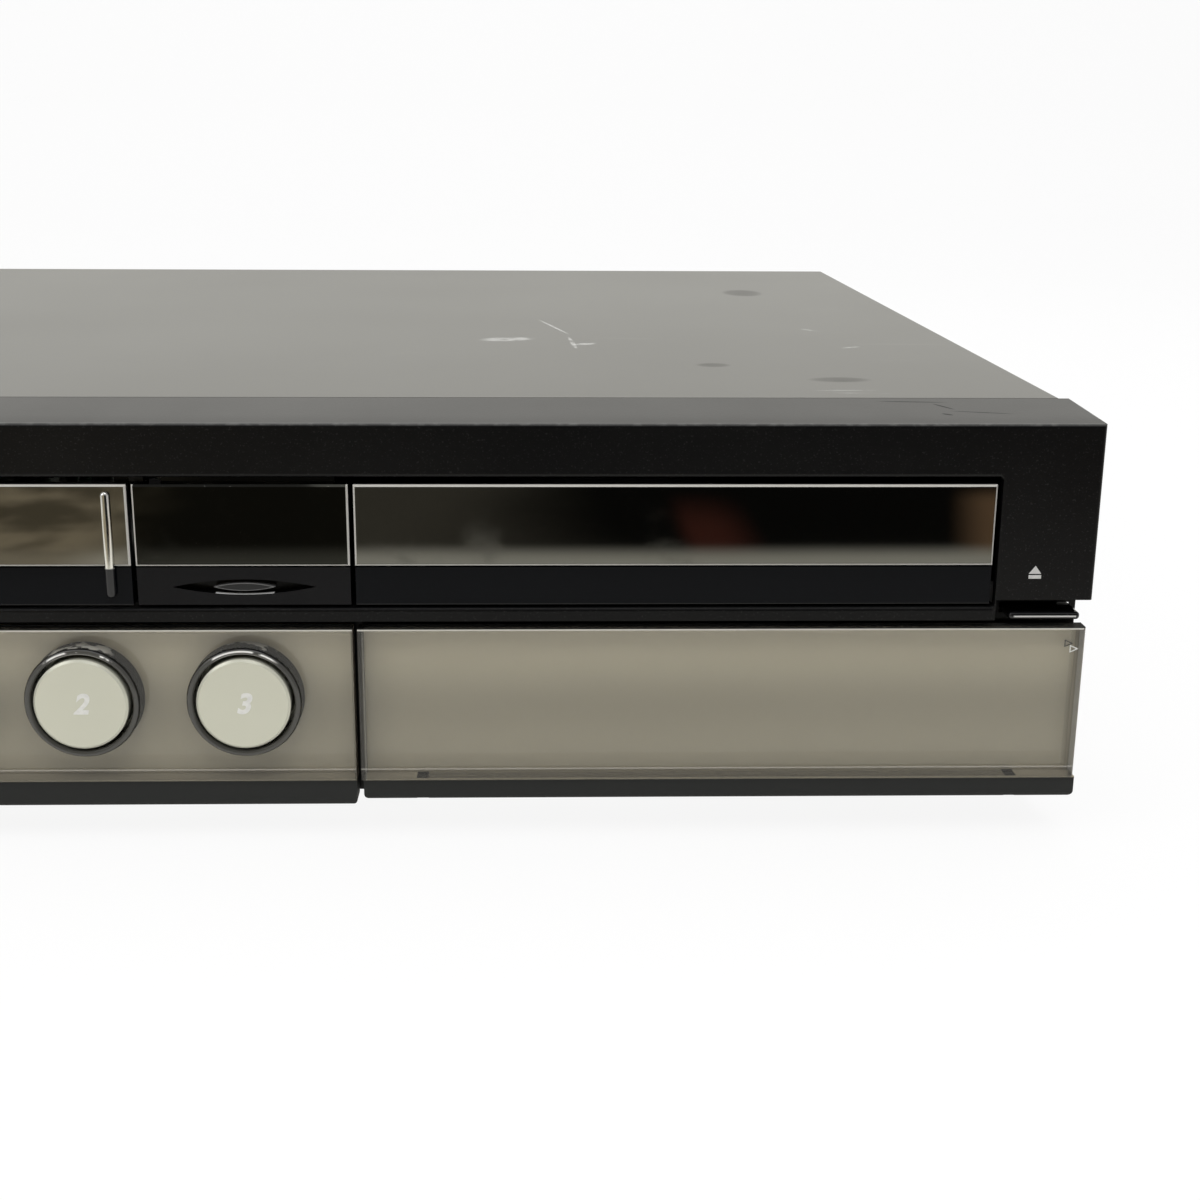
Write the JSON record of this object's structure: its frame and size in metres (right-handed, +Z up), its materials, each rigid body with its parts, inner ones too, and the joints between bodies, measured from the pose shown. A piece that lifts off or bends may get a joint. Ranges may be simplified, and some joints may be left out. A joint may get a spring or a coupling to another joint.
{
  "type": "disc, hard-disk and video-cassette recorder",
  "caption": "Wide low home recorder with a cassette flap, a sliding disc tray, a clear acrylic lower front with round push buttons and a flip-down door.",
  "frame": {"origin": "centre of the rest plane under the feet", "axes": "+X to the right seen from the front, +Y towards the back, +Z up"},
  "size_m": [0.43, 0.3574, 0.096],
  "materials": {
    "cover_paint": "satin",
    "bare_steel": "satin",
    "black_moulding": "satin",
    "dark_mirror": "polished",
    "dark_strip": "gloss",
    "lamp_plastic": "gloss",
    "silver_paint": "satin",
    "clear_acrylic": "clear",
    "cap_plastic": "satin",
    "tube_glass": "gloss",
    "board": "satin",
    "socket_brass": "satin",
    "foot_rubber": "matte",
    "cast_case": "matte",
    "drum_aluminium": "polished",
    "white_nylon": "satin"
  },
  "bodies": {
    "case": {"top_cover": "cover_paint", "chassis_base": "bare_steel", "rear_panel": "bare_steel", "front_bezel": "black_moulding", "centre_panel": "dark_mirror", "indicator_lamp": "lamp_plastic", "display_panel": "silver_paint", "display_lens": "clear_acrylic", "button_rings": "clear_acrylic", "display_tube": "tube_glass", "front_board": "board", "jack_plate": "black_moulding", "front_jacks": "socket_brass", "feet": "foot_rubber", "case_screws": "bare_steel", "av_sockets": "socket_brass", "aerial_block": "bare_steel", "digital_sockets": "bare_steel", "mains_inlet": "black_moulding", "fan_frame": "black_moulding", "main_board": "board", "power_board": "board", "hard_disk": "cast_case", "deck_plate": "bare_steel", "drum_base": "drum_aluminium", "drive_frame": "black_moulding", "clamp_bridge": "bare_steel", "loading_motor": "bare_steel"},
    "cassette_flap": {"cassette_door": "dark_strip", "cassette_window": "dark_mirror", "door_spring": "bare_steel"},
    "lower_flap": {"lower_door": "silver_paint", "lower_door_lens": "clear_acrylic"},
    "left_button": {"round_button_left": "cap_plastic"},
    "middle_button": {"round_button_middle": "cap_plastic"},
    "right_button": {"round_button_right": "cap_plastic"},
    "power_key": {"power_button": "cap_plastic"},
    "tray_key": {"tray_button": "dark_strip"},
    "eject_key": {"eject_button": "dark_strip"},
    "channel_down_key": {"channel_down_button": "black_moulding"},
    "channel_up_key": {"channel_up_button": "black_moulding"},
    "fan": {"fan_rotor": "black_moulding"},
    "carriage": {"holder_carriage": "bare_steel"},
    "holder": {"cassette_holder": "bare_steel"},
    "head_drum": {"drum_head": "drum_aluminium"},
    "capstan_wheel": {"capstan": "bare_steel"},
    "pinch_lever": {"pinch_arm": "foot_rubber"},
    "supply_table": {"supply_reel": "black_moulding"},
    "takeup_table": {"takeup_reel": "black_moulding"},
    "tray": {"disc_tray": "black_moulding", "tray_door": "dark_strip", "tray_window": "dark_mirror"},
    "gear": {"tray_gear": "white_nylon"},
    "pinion": {"motor_pinion": "white_nylon"},
    "clamp": {"disc_clamp": "black_moulding"},
    "traverse": {"traverse_plate": "black_moulding", "guide_rods": "bare_steel"},
    "table": {"turntable": "black_moulding"},
    "sled": {"pickup": "black_moulding"}
  },
  "joints": [
    {"name": "cassette_flap_hinge", "type": "hinge", "parent": "case", "child": "cassette_flap", "pos_m": [-0.09305, -0.17255, 0.0859], "axis": [1, 0, 0], "range_deg": [0, 88], "stiffness_Nm_per_rad": 0.006, "springref_deg": -11.46},
    {"name": "lower_door_hinge", "type": "hinge", "parent": "case", "child": "lower_flap", "pos_m": [0.1341, -0.17385, 0.0124], "axis": [1, 0, 0], "range_deg": [0, 90]},
    {"name": "left_button_press", "type": "slide", "parent": "case", "child": "left_button", "axis": [0, 1, 0], "range_m": [0, 0.0008], "stiffness_N_per_m": 400, "springref_m": -0.0003},
    {"name": "middle_button_press", "type": "slide", "parent": "case", "child": "middle_button", "axis": [0, 1, 0], "range_m": [0, 0.0008], "stiffness_N_per_m": 400, "springref_m": -0.0003},
    {"name": "right_button_press", "type": "slide", "parent": "case", "child": "right_button", "axis": [0, 1, 0], "range_m": [0, 0.0008], "stiffness_N_per_m": 400, "springref_m": -0.0003},
    {"name": "power_press", "type": "slide", "parent": "case", "child": "power_key", "axis": [0, 1, 0], "range_m": [0, 0.0008], "stiffness_N_per_m": 400, "springref_m": -0.0003},
    {"name": "tray_button_press", "type": "slide", "parent": "case", "child": "tray_key", "axis": [0, 1, 0], "range_m": [0, 0.0008], "stiffness_N_per_m": 400, "springref_m": -0.0003},
    {"name": "eject_press", "type": "slide", "parent": "case", "child": "eject_key", "axis": [0, 1, 0], "range_m": [0, 0.0008], "stiffness_N_per_m": 400, "springref_m": -0.0003},
    {"name": "channel_down_press", "type": "slide", "parent": "case", "child": "channel_down_key", "axis": [0, 1, 0], "range_m": [0, 0.0008], "stiffness_N_per_m": 400, "springref_m": -0.0003},
    {"name": "channel_up_press", "type": "slide", "parent": "case", "child": "channel_up_key", "axis": [0, 1, 0], "range_m": [0, 0.0008], "stiffness_N_per_m": 400, "springref_m": -0.0003},
    {"name": "fan_spin", "type": "hinge", "parent": "case", "child": "fan", "pos_m": [-0.085, 0.16095, 0.056], "axis": [0, 1, 0], "continuous": true},
    {"name": "carriage_slide", "type": "slide", "parent": "case", "child": "carriage", "axis": [0, 1, 0], "range_m": [0, 0.062]},
    {"name": "holder_drop", "type": "slide", "parent": "carriage", "child": "holder", "axis": [0, 0, -1], "range_m": [0, 0.024]},
    {"name": "drum_spin", "type": "hinge", "parent": "case", "child": "head_drum", "pos_m": [-0.09305, 0.02095, 0.0206], "axis": [0, 0.1045, 0.9945], "continuous": true},
    {"name": "capstan_spin", "type": "hinge", "parent": "case", "child": "capstan_wheel", "pos_m": [-0.04505, -0.00105, 0.03], "axis": [0, 0, 1], "continuous": true},
    {"name": "pinch_swing", "type": "hinge", "parent": "case", "child": "pinch_lever", "pos_m": [-0.02105, -0.01505, 0.03], "axis": [0, 0, -1], "range_deg": [0, 11], "stiffness_Nm_per_rad": 0.02, "springref_deg": -2.86},
    {"name": "supply_spin", "type": "hinge", "parent": "case", "child": "supply_table", "pos_m": [-0.13905, -0.07705, 0.025], "axis": [0, 0, 1], "continuous": true},
    {"name": "takeup_spin", "type": "hinge", "parent": "case", "child": "takeup_table", "pos_m": [-0.04705, -0.07705, 0.025], "axis": [0, 0, 1], "continuous": true},
    {"name": "tray_slide", "type": "slide", "parent": "case", "child": "tray", "axis": [0, -1, 0], "range_m": [0, 0.14]},
    {"name": "tray_gear_spin", "type": "hinge", "parent": "case", "child": "gear", "pos_m": [0.07835, -0.13105, 0.061], "axis": [0, 0, 1], "range_deg": [-5, 675]},
    {"name": "motor_pinion_spin", "type": "hinge", "parent": "case", "child": "pinion", "pos_m": [0.09635, -0.13105, 0.061], "axis": [0, 0, 1], "range_deg": [-1345, 5]},
    {"name": "clamp_spin", "type": "hinge", "parent": "case", "child": "clamp", "pos_m": [0.12335, -0.07605, 0.072], "axis": [0, 0, 1], "continuous": true},
    {"name": "traverse_lift", "type": "slide", "parent": "case", "child": "traverse", "axis": [0, 0, 1], "range_m": [0, 0.0055]},
    {"name": "turntable_spin", "type": "hinge", "parent": "traverse", "child": "table", "pos_m": [0.12335, -0.07605, 0.055], "axis": [0, 0, 1], "continuous": true},
    {"name": "pickup_slide", "type": "slide", "parent": "traverse", "child": "sled", "axis": [0, 1, 0], "range_m": [0, 0.034]}
  ],
  "couplings": [
    {"joint": "tray_gear_spin", "follows": "tray_slide", "rad_per_m": 83.333},
    {"joint": "motor_pinion_spin", "follows": "tray_slide", "rad_per_m": -166.67}
  ]
}
